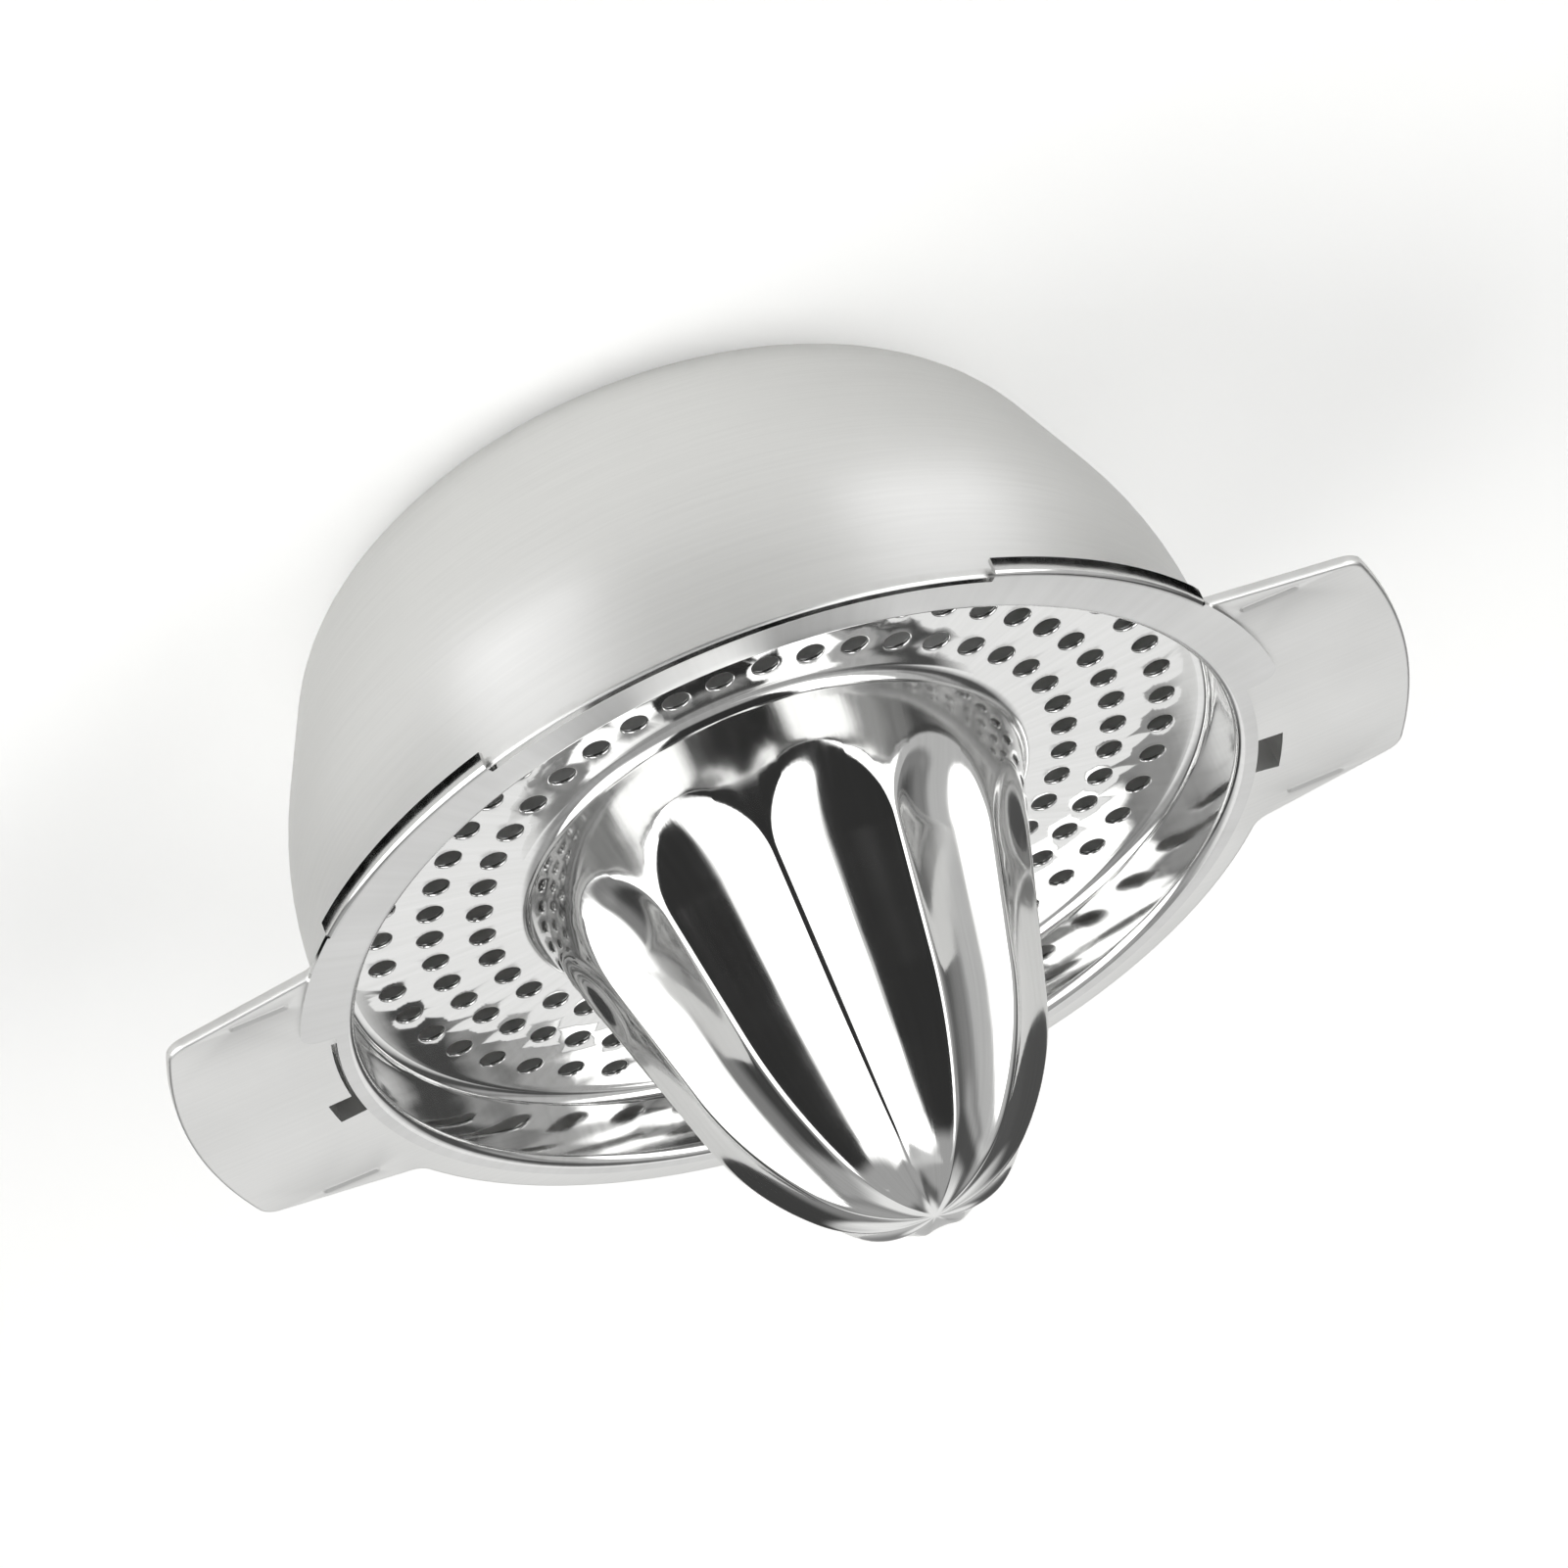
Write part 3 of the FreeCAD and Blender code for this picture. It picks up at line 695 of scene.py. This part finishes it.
def crease(skin, x, y, end):
    """One shallow round-bottomed groove, and the loop that it leaves in the plate."""
    rings = []
    for share in (1.0, 0.85, 0.7, 0.5, 0.3, 0.12):
        ring = []
        for k in range(crease_points):
            angle = 2 * pi * k / crease_points
            long_side = (crease_length - crease_width) / 2 * (1 if cos(angle) > 0 else -1)
            along = long_side + crease_width / 2 * share * cos(angle)
            depth = crease_depth * (1 - share ** 2) ** 1.5
            across = crease_width / 2 * share * sin(angle)
            ring.append((x + end * along, y + across, bowl_height - depth))
        rings.append(ring if end > 0 else ring[::-1])
    for a, b in zip(rings, rings[1:]):
        for k in range(crease_points):
            m = (k + 1) % crease_points
            skin.face([a[k], a[m], b[m], b[k]])
    skin.face(rings[-1])
    return [(p[0], p[1]) for p in rings[0]]


# %% [markdown]
# ## The bowl's body
# The cup is one cross-section swept round the axis. The Screw modifier could sweep it, but the mouth
# has to be left out where the pockets are. The plate is filled between its own outline, the mouth with
# its pockets, and the creases, and the turned-down edge is added row by row.

# %% The cup and its mouth
def cup_profile():
    """Cross-section of the upper skin, from the middle of the base to the mouth."""
    base_corner, waist_bend, mouth_bend = 14.0, 43.6, 0.5
    bowl_upright, bowl_taper = 11.1, 22.2
    inner = bowl_radius - sheet
    waist = bowl_height - bowl_upright - waist_bend * tan(radians(bowl_taper / 2))
    foot = inner - (waist - sheet) * tan(radians(bowl_taper))
    profile = rounded([(0, sheet), (foot, sheet), (inner, waist), (inner, bowl_height),
                       (bowl_radius + mouth_bend + 0.2, bowl_height)],
                      (base_corner, waist_bend, mouth_bend + sheet), 6.0, 2.4)
    vent_bottom = (inner, bowl_height - vent_depth)
    return sorted(set(profile + [vent_bottom]), key=lambda p: (p[1], p[0]))


def mouth_outline(angles, lip):
    """The plate's inner loop: the mouth, stepping out round each pocket."""
    mouth = []
    for angle in angles[:-1]:
        radii = [outer for pocket in pockets() for start, end, outer in pocket
                 if start - hair <= angle <= end + hair]
        at_edge = any(abs(angle - pocket[0][0]) < hair for pocket in pockets())
        at_end = any(abs(angle - pocket[-1][1]) < hair for pocket in pockets())
        radii = [lip] + radii if at_edge else radii + [lip] if at_end else radii or [lip]
        mouth += [on_circle(r, [angle])[0] for r in radii]
    return mouth


# %% The bowl's skin
def turned_down_edge(skin, edge):
    """Rows of faces that follow the plate's outline, over the bend and down."""
    rows = [(edge_round * (1 - sin(turn)), bowl_height - edge_round * (1 - cos(turn)))
            for turn in (radians(18 * k) for k in range(6))] + [(0.0, bowl_height - edge_drop)]
    nets = [[(x, y, z) for x, y in inset(edge, d)] for d, z in rows]
    for a, b in zip(nets, nets[1:]):
        for k in range(len(a)):
            m = (k + 1) % len(a)
            skin.face([a[k], b[k], b[m], a[m]])


def bowl_skin():
    skin = Skin()
    profile = cup_profile()
    marks = [a for pocket in pockets() for start, end, _ in pocket for a in (start, end)]
    angles = sorted(set([round(-180 + 360 * k / 180, 4) for k in range(181)] + marks))
    skin.turned(profile, angles, in_pocket)
    wall = [p for p in profile if p[1] >= bowl_height - vent_depth - hair]
    for pocket in pockets():
        add_pocket(skin, pocket, wall, angles)
    edge = plate_outline()
    loops = [[tuple(p) for p in inset(edge, edge_round)], mouth_outline(angles, wall[-1][0])]
    for end in (-1, 1):
        for side in (-crease_side, crease_side):
            loops.append(crease(skin, end * (crease_start + crease_length / 2), side, end))
    add_flat(skin, flat_sheet("flange", loops, bowl_height))
    turned_down_edge(skin, edge)
    return skin


bowl = pressing("bowl_pressing", bowl_skin())

# %% [markdown]
# ## Finishes
# Both pressings are stainless steel, and steel has hardly any colour of its own: what sets a finish
# apart is how sharp its reflection is, and in which direction it was worked. So both materials are a
# bright metal whose roughness, tint and bump come from the lines that the tools left. Pictures of
# steel could be wrapped round the pieces instead, but nodes have no seams and no fixed sharpness. They
# read Object coordinates, so that the pattern stays on the steel when a piece moves.

# %% Colours, and what both finishes start from
def colour(code):
    """An sRGB hex code as linear colour."""
    parts = [int(code[k:k + 2], 16) / 255 for k in (1, 3, 5)]
    return tuple(c / 12.92 if c <= 0.04045 else ((c + 0.055) / 1.055) ** 2.4 for c in parts) + (1.0,)


def new_material(name):
    material = bpy.data.materials.new(name)
    material.use_nodes = True
    material.node_tree.nodes.clear()
    return material, material.node_tree


def places(tree):
    """The place on the piece, its X, Y and Z, its plan, and its distance from the bowl's axis."""
    place = add(tree, "ShaderNodeTexCoord").outputs["Object"]
    axes = add(tree, "ShaderNodeSeparateXYZ", links={0: place}).outputs
    plan = add(tree, "ShaderNodeCombineXYZ", links={"X": axes["X"], "Y": axes["Y"]}).outputs[0]
    radius = add(tree, "ShaderNodeVectorMath", {"operation": "LENGTH"}, {0: plan}).outputs["Value"]
    return place, axes, plan, radius


def steel_surface(tree, lines, dark, bright, roughness, bump):
    """Bright metal, tinted between two near-whites by the lines that a tool left."""
    tint = add(tree, "ShaderNodeMix", {"data_type": "RGBA"})
    tree.links.new(lines, tint.inputs[0])
    tint.inputs[6].default_value, tint.inputs[7].default_value = colour(dark), colour(bright)
    shader = add(tree, "ShaderNodeBsdfPrincipled", {"Metallic": 1.0},
                 {"Base Color": tint.outputs[2], "Roughness": roughness, "Normal": bump})
    add(tree, "ShaderNodeOutputMaterial", links={"Surface": shader})


# %% [markdown]
# ## Satin steel
# The bowl was ground with fine grit while it turned, and its handles were ground along their length.
# Noise that is stretched along the grit's way gives such lines. On the cup the way runs round the
# axis, so the noise is fine across the cross-section only. On the plate it is fine across Y only.

# %% Satin steel
plate_from = 0.0524      # metres from the axis, as all sizes in a material


def satin():
    """What the eye sees: bright grey steel in broad soft bands, never a clear image, and under a
    grazing light the fine lines of the grit, round the bowl and straight along the handles."""
    material, tree = new_material("satin_stainless_steel")
    place, axes, _, radius = places(tree)
    across = add(tree, "ShaderNodeMath", {"operation": "ADD"}, {0: radius, 1: axes["Z"]})
    turned = add(tree, "ShaderNodeCombineXYZ", links={"X": axes["X"], "Y": axes["Y"], "Z": across})
    # Real grit lines lie about 0.1 mm apart. They are drawn 0.4 mm apart, to be seen at all.
    round_lines = add(tree, "ShaderNodeVectorMath", {"operation": "MULTIPLY", 1: (70, 70, 2500)},
                      {0: turned})
    straight_lines = add(tree, "ShaderNodeVectorMath", {"operation": "MULTIPLY", 1: (60, 2500, 60)},
                         {0: place})
    plate = add(tree, "ShaderNodeMath", {"operation": "GREATER_THAN", 1: plate_from}, {0: radius})
    way = add(tree, "ShaderNodeMix", {"data_type": "VECTOR"})
    for source, socket in ((plate, 0), (round_lines, 4), (straight_lines, 5)):
        tree.links.new(source.outputs[0], way.inputs[socket])
    grain = add(tree, "ShaderNodeTexNoise", {"Scale": 1.0, "Detail": 3.0}, {"Vector": way.outputs[1]})
    # Handling leaves duller and brighter places, 25 mm wide.
    cloud = add(tree, "ShaderNodeTexNoise", {"Scale": 40.0, "Detail": 4.0, "Roughness": 0.6},
                {"Vector": place})
    dull = add(tree, "ShaderNodeMapRange", {"From Min": 0.3, "From Max": 0.7, "To Min": 0.30,
                                            "To Max": 0.40}, {"Value": cloud})
    rough = add(tree, "ShaderNodeMath", {"operation": "MULTIPLY_ADD", 1: 0.08}, {0: grain, 2: dull})
    lines = add(tree, "ShaderNodeBump", {"Strength": 0.35, "Distance": 0.00001}, {"Height": grain})
    steel_surface(tree, grain.outputs[0], "#e9e9e8", "#f3f3f2", rough.outputs[0], lines.outputs[0])
    return material


# %% [markdown]
# ## Polished steel
# The strainer was buffed to a mirror. A perfect mirror would look drawn by a computer, so three small
# faults are added: streaks from the buffing wheel that run up the flutes, cloudy places from hands,
# and the slight waves of pressed sheet. Its flat rim is satin like the bowl.

# %% Polished steel
rim_from, rim_above = 0.0513, 0.0476


def polished():
    """What the eye sees: a mirror of the room, a little wavy as pressed sheet is, with soft buffing
    streaks that run up the flutes and dull, cloudy places where it has been handled."""
    material, tree = new_material("polished_stainless_steel")
    place, axes, plan, radius = places(tree)
    bearing = add(tree, "ShaderNodeVectorMath", {"operation": "NORMALIZE"}, {0: plan})
    flat = add(tree, "ShaderNodeSeparateXYZ", links={0: bearing})
    place_on_cone = add(tree, "ShaderNodeCombineXYZ",
                        links={"X": flat.outputs["X"], "Y": flat.outputs["Y"], "Z": axes["Z"]})
    # Buffing streaks are 0.6 mm wide at the cone's foot and about 20 mm long.
    streak_way = add(tree, "ShaderNodeVectorMath", {"operation": "MULTIPLY", 1: (40, 40, 50)},
                     {0: place_on_cone})
    streaks = add(tree, "ShaderNodeTexNoise", {"Scale": 1.0, "Detail": 3.0}, {"Vector": streak_way})
    # Clouds from hands are 15 mm wide.
    cloud = add(tree, "ShaderNodeTexNoise", {"Scale": 65.0, "Detail": 4.0, "Roughness": 0.6},
                {"Vector": place})
    dull = add(tree, "ShaderNodeMapRange", {"From Min": 0.35, "From Max": 0.75, "To Min": 0.03,
                                            "To Max": 0.12}, {"Value": cloud})
    rough = add(tree, "ShaderNodeMath", {"operation": "MULTIPLY_ADD", 1: 0.05},
                {0: streaks, 2: dull})
    # The flat rim is not buffed like the rest. It is satin, and shows no image of the cone.
    outside = add(tree, "ShaderNodeMath", {"operation": "GREATER_THAN", 1: rim_from}, {0: radius})
    on_top = add(tree, "ShaderNodeMath", {"operation": "GREATER_THAN", 1: rim_above}, {0: axes["Z"]})
    rim = add(tree, "ShaderNodeMath", {"operation": "MULTIPLY"}, {0: outside, 1: on_top})
    finish = add(tree, "ShaderNodeMath", {"operation": "MULTIPLY_ADD", 1: 0.28}, {0: rim, 2: rough})
    # The sheet is not quite flat: waves about 10 mm long and a few hundredths of a millimetre high.
    waves = add(tree, "ShaderNodeTexNoise", {"Scale": 100.0, "Detail": 1.0}, {"Vector": place})
    wavy = add(tree, "ShaderNodeBump", {"Strength": 1.0, "Distance": 0.00005}, {"Height": waves})
    buffed = add(tree, "ShaderNodeBump", {"Strength": 0.3, "Distance": 0.00001},
                 {"Height": streaks, "Normal": wavy})
    steel_surface(tree, streaks.outputs[0], "#dcdcdb", "#ececec", finish.outputs[0], buffed.outputs[0])
    return material


# %% [markdown]
# ## On the moving bodies
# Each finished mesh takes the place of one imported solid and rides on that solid's body, so the
# strainer's fine mesh lifts off with the strainer.

# %% Put the finishes on the pieces
for obj, material in ((bowl, satin()), (strainer, polished())):
    obj.data.materials.clear()
    obj.data.materials.append(material)
    print(obj.name, "is", material.name)

# %% Ride on the bodies
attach(bowl, "bowl")
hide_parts("bowl")
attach(strainer, "strainer")
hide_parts("strainer")

# %% [markdown]
# ## The table
# The squeezer stands on a pale matt sheet of paper. The picture that it is matched to has a white
# ground, so the paper is lifted to white where the camera sees it. It keeps its shadows, because only
# part of its light is its own. The steel sees the paper unlifted, and only as far as a table reaches:
# past its edge the steel sees the studio, as it would on a real table.

# %% The paper on the table
def stage_sheet(name, loops, height=0.0):
    """A flat piece of the stage: one outline, or two with the ring between them."""
    points = [(x * MM, y * MM, height * MM) for loop in loops for x, y in loop]
    count = len(loops[0])
    faces = [tuple(range(count))]
    if len(loops) > 1:
        faces = [(k, (k + 1) % count, count + (k + 1) % count, count + k) for k in range(count)]
    data = bpy.data.meshes.new(name)
    data.from_pydata(points, [], faces)
    piece = new_object(name, data)
    return piece


table_radius, ground_radius = 380.0, 8000.0
table_edge = on_circle(table_radius, range(0, 360, 5))
table = stage_sheet("table", [table_edge])
ground = stage_sheet("ground", [on_circle(ground_radius, range(0, 360, 5)), table_edge])
ground.visible_glossy = False


# %% White paper
def paper():
    """Matt white paper, lifted by light of its own for the camera only."""
    material, tree = new_material("white_paper")
    lit = add(tree, "ShaderNodeBsdfDiffuse", {"Color": colour("#f2f2f1")})
    own = add(tree, "ShaderNodeEmission", {"Color": colour("#ffffff"), "Strength": 0.3})
    both = add(tree, "ShaderNodeAddShader", links={0: lit, 1: own})
    rays = add(tree, "ShaderNodeLightPath")
    seen = add(tree, "ShaderNodeMixShader",
               links={0: rays.outputs["Is Camera Ray"], 1: lit, 2: both})
    add(tree, "ShaderNodeOutputMaterial", links={"Surface": seen})
    return material


white_paper = paper()
for piece in (table, ground):
    piece.data.materials.append(white_paper)

# %% [markdown]
# ## The studio
# Polished steel has no look of its own: it shows the room. Lamps alone would leave that room empty and
# the steel black between them. So the room is laid out as a photographer would, on the sky itself:
# two tall softboxes on the camera's side with black between them, a pale wall behind the object, dark
# gaps beside it, and a dim ceiling. Each is a patch of the sky with a place, a size and a softness in
# degrees, and a later patch lies over the earlier ones. Bearings run from 0 at the right handle, over
# 90 behind the object, to -90 at the camera.

# %% Patches of light and dark round the object
# (middle, half width, soft edge) of the bearing, (lowest, highest, soft edge) of the height, level
room_level = 0.25
patches = [
    ("ceiling", (0, 181, 1), (52, 95, 8), 0.42),
    ("ceiling, brighter left", (-165, 30, 12), (50, 95, 6), 0.70),
    ("ceiling, dark behind", (120, 30, 12), (48, 62, 5), 0.14),
    ("side walls", (90, 78, 6), (17, 46, 5), 0.42),
    ("wall behind", (82, 38, 14), (17, 45, 5), 0.97),
    ("wall, low", (90, 13, 6), (-30, 19, 4), 0.55),
    ("dark gap, right", (40, 20, 6), (-30, 15, 4), 0.06),
    ("dark gap, left", (122, 18, 7), (-30, 16, 4), 0.10),
    ("dark wall, left", (145, 13, 6), (-30, 58, 6), 0.09),
    ("left wall", (-173, 13, 4), (-90, 60, 8), 0.55),
    ("black by the camera", (-90, 36, 2), (-90, 66, 7), 0.035),
    ("grey in the black", (-97, 6, 8), (-90, -8, 10), 0.16),
    ("softbox, left", (-144, 21, 3), (-90, 72, 8), 2.4),
    ("softbox, right", (-26, 30, 3), (-90, 60, 9), 2.4),
]


# %% The world's light
def patch_share(tree, bearing, height, across, upwards):
    """How much of a patch lies in a direction of the sky, from 0 to 1."""
    (middle, half, soft), (lowest, highest, edge) = across, upwards
    off = add(tree, "ShaderNodeMath", {"operation": "SUBTRACT", 1: radians(middle)}, {0: bearing})
    turned = add(tree, "ShaderNodeMath", {"operation": "WRAP", 1: pi, 2: -pi}, {0: off})
    beside = add(tree, "ShaderNodeMath", {"operation": "ABSOLUTE"}, {0: turned})
    share = None
    for value, none_at, all_at in ((beside, half + soft, half - soft),
                                   (height, lowest - edge, lowest + edge),
                                   (height, highest + edge, highest - edge)):
        ramp = add(tree, "ShaderNodeMapRange", {
            "interpolation_type": "SMOOTHSTEP", "From Min": radians(none_at),
            "From Max": radians(all_at)}, {"Value": value})
        if share:
            ramp = add(tree, "ShaderNodeMath", {"operation": "MULTIPLY"}, {0: share, 1: ramp})
        share = ramp
    return share


def studio():
    """The world's shader, one patch mixed over the others."""
    world = bpy.data.worlds.new("studio")
    world.use_nodes = True
    tree = world.node_tree
    tree.nodes.clear()
    way = add(tree, "ShaderNodeTexCoord").outputs["Generated"]
    axes = add(tree, "ShaderNodeSeparateXYZ", links={0: way}).outputs
    bearing = add(tree, "ShaderNodeMath", {"operation": "ARCTAN2"}, {0: axes["Y"], 1: axes["X"]})
    height = add(tree, "ShaderNodeMath", {"operation": "ARCSINE"}, {0: axes["Z"]})
    level = room_level
    for name, across, upwards, strength in patches:
        share = patch_share(tree, bearing, height, across, upwards)
        share.label = name
        mixed = add(tree, "ShaderNodeMix", {"data_type": "FLOAT"})
        tree.links.new(share.outputs[0], mixed.inputs[0])
        if isinstance(level, float):
            mixed.inputs[2].default_value = level
        else:
            tree.links.new(level, mixed.inputs[2])
        mixed.inputs[3].default_value = strength
        level = mixed.outputs[0]
    light = add(tree, "ShaderNodeBackground", links={"Strength": level})
    light.inputs["Color"].default_value = colour("#fffffe")
    add(tree, "ShaderNodeOutputWorld", links={"Surface": light})
    return world


scene.world = studio()
print(len(patches), "patches on the sky")

# %% [markdown]
# ## Cards beside the object, for painted reflections
# On the real set something dark lies before the object, out of the picture, and gives its upright
# edges an outline, and beside it the bowl shows two soft bright bands. Here both are painted
# reflections: curved black cards and glowing cards lie there, which only reflections can see. They
# cast no shadow and give no light to the paper. Upright steel that looks towards bearing b mirrors
# the camera's line down to the table, at the place that the function below works out: the reach is
# how far the line goes outwards before it lands, about 1.75 times the height that it comes from.

# %% Cards out of the picture
def card(name, surface, start, end, near, far):
    """A strip of the table, seen in upright steel that looks from bearing start to end."""
    rim, steps, height = 55.5, 16, 0.5
    corners = []
    for reach, order in ((far, 1), (near, -1)):
        for k in range(steps + 1)[::order]:
            b = radians(start + (end - start) * k / steps)
            corners.append((rim * cos(b) - reach * sin(2 * b), rim * sin(b) + reach * cos(2 * b)))
    strip = stage_sheet(name, [corners], height)
    strip.data.materials.append(surface)
    strip.visible_camera = strip.visible_diffuse = strip.visible_shadow = False


def card_surface(name, kind, settings):
    material, tree = new_material(name)
    shader = add(tree, kind, settings)
    add(tree, "ShaderNodeOutputMaterial", links={"Surface": shader})
    return material


# Painted dark reflection: a black card that only the steel's reflections see, for the dark outline of
# upright edges.
black_card = card_surface("black_card", "ShaderNodeBsdfDiffuse", {"Color": colour("#0a0a0a")})
# Painted reflection: a card that glows with light of its own, seen only in the steel, for the two
# bright bands on the bowl.
glowing_reflection_card = card_surface("glowing_reflection_card", "ShaderNodeEmission", {"Color": colour("#ffffff"), "Strength": 1.2})
for start, end in ((-154, -76), (-64, -28)):
    card("black card", black_card, start, end, 72, 94)
for start, end in ((-136, -114), (-80, -60)):
    card("glowing reflection card", glowing_reflection_card, start, end, 28, 70)

# %% [markdown]
# ## Finish
# The picture is shown without a film look, so that a colour comes out as it is written.

# %% Finish
scene.view_settings.view_transform = "Standard"
